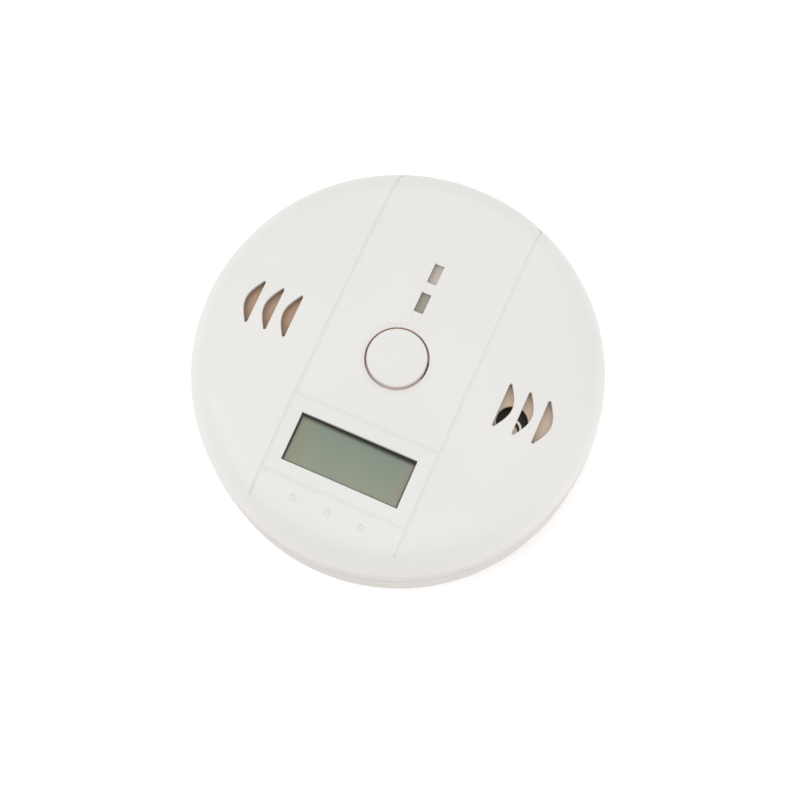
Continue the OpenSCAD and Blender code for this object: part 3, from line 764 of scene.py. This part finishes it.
def metal(name, colour, roughness, brushed=None):
    """Plated metal with uneven gloss, fine scratches and a slight stain."""
    mat, tree, shader = material(name, colour, roughness, Metallic=1.0)
    stained = ramp(tree, noise(tree, 160, 4), scaled(colour, 0.82), colour)
    tree.links.new(stained, shader.inputs["Base Color"])
    uneven = remap(tree, noise(tree, 700, 5), roughness - 0.08, roughness + 0.1)
    tree.links.new(uneven, shader.inputs["Roughness"])
    scratches = wave(tree, brushed, 900, 6) if brushed else noise(tree, 2400, 3)
    bump(tree, shader, scratches, 0.2, 0.01 * MM)
    return mat


def foam(name, colour):
    mat, tree, shader = material(name, colour, 0.95)
    pores = noise(tree, 1500, 3, 0.7)
    tree.links.new(ramp(tree, pores, scaled(colour, 0.4), colour), shader.inputs["Base Color"])
    bump(tree, shader, pores, 0.8, 0.2 * MM)
    return mat


def board_finish():
    """Green solder mask over copper tracks."""
    mat, tree, shader = material("board", (0.015, 0.11, 0.045), 0.32)
    tracks = combine(tree, "MULTIPLY", between(tree, wave(tree, "X", 170, 1.5), 0.55, 0.65),
                     between(tree, noise(tree, 60, 1), 0.45, 0.5))
    mask = blend_colours(tree, tracks, (0.012, 0.09, 0.035), (0.03, 0.19, 0.07))
    cloud = ramp(tree, noise(tree, 220, 3), (0.010, 0.075, 0.03), (0.016, 0.11, 0.045))
    tree.links.new(blend_colours(tree, tracks, cloud, mask), shader.inputs["Base Color"])
    bump(tree, shader, tracks, 0.5, 0.03 * MM)
    return mat


def winding():
    """Ferrite flanges with enamelled copper wire wound between them."""
    lo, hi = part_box("boost_inductor")
    rim = 1 * MM
    mat, tree, shader = material("ferrite", (0.03, 0.03, 0.032), 0.5)
    z = axis_value(tree, "Z")
    inside = combine(tree, "MULTIPLY", between(tree, z, lo.z + rim, lo.z + rim + 0.05 * MM),
                     between(tree, z, hi.z - rim, hi.z - rim - 0.05 * MM))
    wire = ramp(tree, wave(tree, "Z", 700, 0.4), (0.22, 0.07, 0.02), (0.62, 0.27, 0.10), 0.1, 0.9)
    ferrite = ramp(tree, noise(tree, 900, 3), (0.018, 0.018, 0.02), (0.045, 0.045, 0.048))
    tree.links.new(blend_colours(tree, inside, ferrite, wire), shader.inputs["Base Color"])
    bump(tree, shader, wave(tree, "Z", 700, 0.4), 0.5, 0.05 * MM)
    return mat


def can_capacitor():
    """Dark sleeve with a bare aluminium top."""
    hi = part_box("capacitors")[1]
    mat, tree, shader = material("capacitor", (0.03, 0.035, 0.09), 0.35)
    top = between(tree, axis_value(tree, "Z"), hi.z - 0.25 * MM, hi.z - 0.15 * MM)
    sleeve = ramp(tree, noise(tree, 500, 3), (0.02, 0.022, 0.06), (0.04, 0.045, 0.11))
    tree.links.new(blend_colours(tree, top, sleeve, (0.62, 0.63, 0.65)), shader.inputs["Base Color"])
    tree.links.new(top, shader.inputs["Metallic"])
    bump(tree, shader, noise(tree, 1400, 3), 0.3, 0.02 * MM)
    return mat


def chip_resistor():
    """Black film on a ceramic chip, with tinned ends."""
    lo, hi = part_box("chip_resistors")
    mid, half = (lo.y + hi.y) / 2, (hi.y - lo.y) / 2
    mat, tree, shader = material("resistor", (0.02, 0.02, 0.022), 0.4)
    out = combine(tree, "ABSOLUTE", combine(tree, "SUBTRACT", axis_value(tree, "Y"), mid), 0)
    ends = between(tree, out, half - 0.4 * MM, half - 0.35 * MM)
    film = ramp(tree, noise(tree, 1800, 3), (0.012, 0.012, 0.014), (0.035, 0.035, 0.04))
    tree.links.new(blend_colours(tree, ends, film, (0.66, 0.66, 0.65)), shader.inputs["Base Color"])
    tree.links.new(ends, shader.inputs["Metallic"])
    bump(tree, shader, noise(tree, 2600, 3), 0.3, 0.01 * MM)
    return mat


def zebra():
    """Pink silicone strip with fine dark conducting layers."""
    pink, carbon = (0.72, 0.38, 0.42), (0.06, 0.05, 0.05)
    mat, tree, shader = material("zebra", pink, 0.6)
    layers = between(tree, wave(tree, "X", 1200), 0.45, 0.55)
    tree.links.new(blend_colours(tree, layers, pink, carbon), shader.inputs["Base Color"])
    bump(tree, shader, layers, 0.2, 0.02 * MM)
    return mat


def cell(name, node, flip):
    """Plain wrapped AA cell: matt sleeve with one lighter band, bare steel at both ends."""
    lo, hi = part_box(node)
    mat, tree, shader = material("cell_" + name, (0.05, 0.06, 0.08), 0.35)
    y = axis_value(tree, "Y")
    start, end = (hi.y, lo.y) if flip else (lo.y, hi.y)
    inward = 1 if end > start else -1
    bare = between(tree, y, end - inward * 1.6 * MM, end - inward * 1.5 * MM)
    foot = between(tree, y, start + inward * 0.4 * MM, start + inward * 0.3 * MM)
    steel_ends = combine(tree, "MAXIMUM", bare, foot)
    band = between(tree, y, end - inward * 12.2 * MM, end - inward * 12 * MM)
    wrap = ramp(tree, noise(tree, 300, 3), (0.040, 0.047, 0.064), (0.055, 0.063, 0.085))
    wrapped = blend_colours(tree, band, wrap, (0.42, 0.43, 0.45))
    colour = blend_colours(tree, steel_ends, wrapped, (0.66, 0.66, 0.65))
    tree.links.new(colour, shader.inputs["Base Color"])
    tree.links.new(steel_ends, shader.inputs["Metallic"])
    bump(tree, shader, noise(tree, 900, 4), 0.25, 0.02 * MM)
    return mat


def display_finish():
    """Blank grey-green liquid crystal with a soft dark border, partly the panel's dark print and partly
    painted shadow of the window's walls, and painted shade and light across the field.
    """
    mat, tree, shader = material("display_glass_painted_shade", (0.25, 0.29, 0.21), 0.22)
    x, y = axis_value(tree, "X"), axis_value(tree, "Y")
    left, right = WINDOW_X - WINDOW_W / 2, WINDOW_X + WINDOW_W / 2
    top, bottom = WINDOW_Y + WINDOW_H / 2, WINDOW_Y - WINDOW_H / 2
    slant = combine(tree, "MULTIPLY", x, 0.012)
    edges = [
        between(tree, combine(tree, "ADD", y, slant), top - 1.6 * MM, top - 0.35 * MM),
        between(tree, x, left + 0.85 * MM, left + 0.2 * MM),
        between(tree, x, right - 0.75 * MM, right + 0.1 * MM),
        between(tree, y, bottom + 0.45 * MM, bottom - 0.05 * MM),
    ]
    # painted shadow: the border is widest and slanted along the top, where the window's wall shades the
    # panel; it also stands for the panel's dark print
    border = edges[0]
    for edge in edges[1:]:
        border = combine(tree, "MAXIMUM", border, edge)
    # painted shade and light: darker at the top, lighter towards the bottom and the right, yellower at the
    # left
    down = between(tree, y, top - 0.8 * MM, bottom + 1 * MM, smooth=False)
    across = between(tree, x, left, left + 6 * MM)
    beyond = between(tree, x, right - 4.5 * MM, right)
    field = blend_colours(tree, down, (0.205, 0.252, 0.190), (0.258, 0.287, 0.210))
    field = blend_colours(tree, across, (0.240, 0.246, 0.166), field)
    field = blend_colours(tree, beyond, field, (0.270, 0.265, 0.205))
    cloud = between(tree, noise(tree, 110, 2), 0.3, 0.7)
    field = blend_colours(tree, combine(tree, "MULTIPLY", cloud, 0.25), field, (0.19, 0.25, 0.215))
    tree.links.new(blend_colours(tree, border, field, (0.010, 0.009, 0.006)), shader.inputs["Base Color"])
    bump(tree, shader, noise(tree, 2200, 2), 0.04, 0.01 * MM)
    return mat


def lens(name, low, high, y):
    """Smoked light guide, painted lighter towards one side and one end as painted light falling into it.
    """
    mat, tree, shader = material(name, high, 0.3)
    across = between(tree, axis_value(tree, "X"), -LENS_W / 2, LENS_W / 2)
    along = between(tree, axis_value(tree, "Y"), y + LENS_L / 2, y - LENS_L / 2)
    # painted light: the guide's colour grades lighter towards one corner
    painted_light_grade = combine(tree, "MULTIPLY", combine(tree, "ADD", across, along), 0.5)
    tree.links.new(blend_colours(tree, painted_light_grade, low, high), shader.inputs["Base Color"])
    bump(tree, shader, noise(tree, 1800, 3), 0.12, 0.01 * MM)
    return mat


white_abs = moulded("white_abs", (0.78, 0.77, 0.745), 0.48)
# the cover and the cap carry painted light: a warm tint on the walls of the button's gap
cover_abs = moulded("cover_abs", (0.78, 0.77, 0.745), 0.48, gap_glow_side=1)
button_abs = moulded("button_abs", (0.78, 0.77, 0.745), 0.42, grain=0.35, gap_glow_side=-1)


def paint(obj, mat):
    if not obj.data.materials:
        obj.data.materials.append(mat)
    for i in range(len(obj.data.materials)):
        obj.data.materials[i] = mat
    for slot in obj.material_slots:
        slot.material = mat


# ---------- pieces ----------

cover = build_front_cover()
paint(cover, cover_abs)
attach(cover, "detector")
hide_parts("front_cover")

cap = build_test_button()
paint(cap, button_abs)
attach(cap, "button")
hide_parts("test_button")

screw_steel = metal("screw_steel", (0.56, 0.56, 0.55), 0.32)
contact_steel = metal("contact_nickel", (0.66, 0.64, 0.60), 0.3, "X")
node_finish = {
    "rear_housing": white_abs,
    "mounting_base": white_abs,
    # painted shade: the trays behind the vents are white plastic given warm tan colours for the dim, warm
    # light bounced inside them
    "sensor_cover": moulded("sensor_tray_painted_shade", (0.505, 0.338, 0.234), 0.6, tint=0.02),
    "sounder_plate": moulded("sounder_tray_painted_shade", (0.73, 0.578, 0.455), 0.55, tint=0.06),
    "buzzer_body": moulded("buzzer_black", (0.056, 0.042, 0.031), 0.5),
    # painted light: the port ring and the piezo disc glow faintly though they are no lamps, standing in
    # for light reaching them through the vents
    "sounder_port_ring": moulded("ring_white_painted_glow", (0.88, 0.86, 0.82), 0.3, **glow((1, 0.96, 0.9), 0.36)),
    "buzzer_disc": moulded("piezo", (0.80, 0.68, 0.55), 0.5, **glow((1, 0.82, 0.66), 0.3)),
    "lcd_panel": display_finish(),
    "alarm_light_guide": lens("alarm_lens", (0.415, 0.358, 0.312), (0.608, 0.553, 0.484), LENS_Y[0]),
    "power_light_guide": lens("power_lens", (0.32, 0.295, 0.245), (0.375, 0.335, 0.277), LENS_Y[1]),
    "lcd_holder": moulded("holder_white", (0.66, 0.65, 0.62), 0.5),
    "circuit_board": board_finish(),
    "switch_body": moulded("switch_black", (0.025, 0.025, 0.027), 0.45),
    "switch_plunger": moulded("switch_stem", (0.55, 0.12, 0.08), 0.45),
    "controller_chip": moulded("chip_epoxy", (0.022, 0.022, 0.024), 0.6, grain=1.0),
    "capacitors": can_capacitor(),
    "chip_resistors": chip_resistor(),
    "boost_inductor": winding(),
    "alarm_led": moulded("alarm_led", (0.55, 0.05, 0.04), 0.15, grain=0.1),
    "power_led": moulded("power_led", (0.08, 0.42, 0.12), 0.15, grain=0.1),
    "zebra_strips": zebra(),
    "co_sensor": metal("sensor_steel", (0.60, 0.59, 0.57), 0.28, "Z"),
    "sensor_gasket": foam("gasket_foam", (0.045, 0.045, 0.047)),
    "battery_left": cell("left", "battery_left", False),
    "battery_middle": cell("middle", "battery_middle", True),
    "battery_right": cell("right", "battery_right", False),
    "battery_contact_plates": contact_steel,
    "battery_springs": contact_steel,
    "case_screws": screw_steel,
    "circuit_board_screws": screw_steel,
}
for name, obj in nodes.items():
    paint(obj, node_finish.get(name, white_abs))

# ---------- stage ----------

scene = bpy.context.scene
scene.view_settings.view_transform = "Standard"
scene.view_settings.look = "None"

floor = new_object("floor", [(-4, -4, 0), (4, -4, 0), (4, 4, 0), (-4, 4, 0)], [[0, 1, 2, 3]])
floor.location.z = cad_box[0].z - 0.05 * MM
paint(floor, material("floor_paper", (0.97, 0.97, 0.97), 0.9, **glow((1, 1, 1), 0.22))[0])

world = bpy.data.worlds.new("studio")
scene.world = world
world.use_nodes = True


def sky():
    """White tent, bright overhead; low down it dims, most on the near side, where it is warmer."""
    tree = world.node_tree
    shader = tree.nodes["Background"]
    place = tree.nodes.new("ShaderNodeTexCoord")
    split = tree.nodes.new("ShaderNodeSeparateXYZ")
    tree.links.new(place.outputs["Generated"], split.inputs["Vector"])
    near = combine(tree, "ADD", combine(tree, "MULTIPLY", split.outputs["X"], 0.46),
                   combine(tree, "MULTIPLY", split.outputs["Y"], -0.89))
    far = between(tree, near, 0.0, -0.8)
    near = between(tree, near, -0.1, 0.8)
    high = between(tree, split.outputs["Z"], 0.12, 0.62)
    low = combine(tree, "SUBTRACT", 0.66, combine(tree, "MULTIPLY", near, 0.6))
    low = combine(tree, "SUBTRACT", low, combine(tree, "MULTIPLY", far, 0.16))
    rise = combine(tree, "MULTIPLY", high, combine(tree, "SUBTRACT", 0.93, low))
    tree.links.new(combine(tree, "ADD", low, rise), shader.inputs["Strength"])
    warm = combine(tree, "MULTIPLY", near, combine(tree, "SUBTRACT", 1.0, high))
    tree.links.new(blend_colours(tree, warm, (1.0, 1.0, 1.0), (1.0, 0.86, 0.78)), shader.inputs["Color"])


sky()


def softbox(name, place, target, size, power):
    light = bpy.data.lights.new(name, "AREA")
    light.shape = "DISK"
    light.size = size
    light.energy = power
    obj = bpy.data.objects.new(name, light)
    obj.location = place
    obj.rotation_euler = (Vector(target) - Vector(place)).to_track_quat("-Z", "Y").to_euler()
    scene.collection.objects.link(obj)


CENTRE = (0, 0, 0.03)
softbox("key", (-0.72, -0.36, 0.95), CENTRE, 0.8, 3.5)
softbox("fill", (1.0, 0.0, 0.36), CENTRE, 0.8, 2.4)

# Camera: azimuth round from -Y towards +X, elevation above the table, roll about the view
AZIMUTH, ELEVATION, ROLL = 27.3, 75.45, -3.5
DISTANCE = 403.2 * MM
AIM = Vector((5.0 * MM, -9.4 * MM, FACE_TOP))
FOCAL_LENGTH = 74.96
SENSOR_WIDTH = 36


def add_camera():
    data = bpy.data.cameras.new("camera")
    data.lens = FOCAL_LENGTH
    data.sensor_width = SENSOR_WIDTH
    data.clip_start = 0.02
    obj = bpy.data.objects.new("camera", data)
    a, e = math.radians(AZIMUTH), math.radians(ELEVATION)
    back = Vector((math.sin(a) * math.cos(e), -math.cos(a) * math.cos(e), math.sin(e)))
    right = Vector((math.cos(a), math.sin(a), 0))
    up = back.cross(right)
    turn = Matrix.Rotation(math.radians(ROLL), 3, back)
    right, up = turn @ right, turn @ up
    pose = Matrix((right, up, back)).transposed().to_4x4()
    pose.translation = AIM + back * DISTANCE
    obj.matrix_world = pose
    scene.collection.objects.link(obj)
    scene.camera = obj


add_camera()
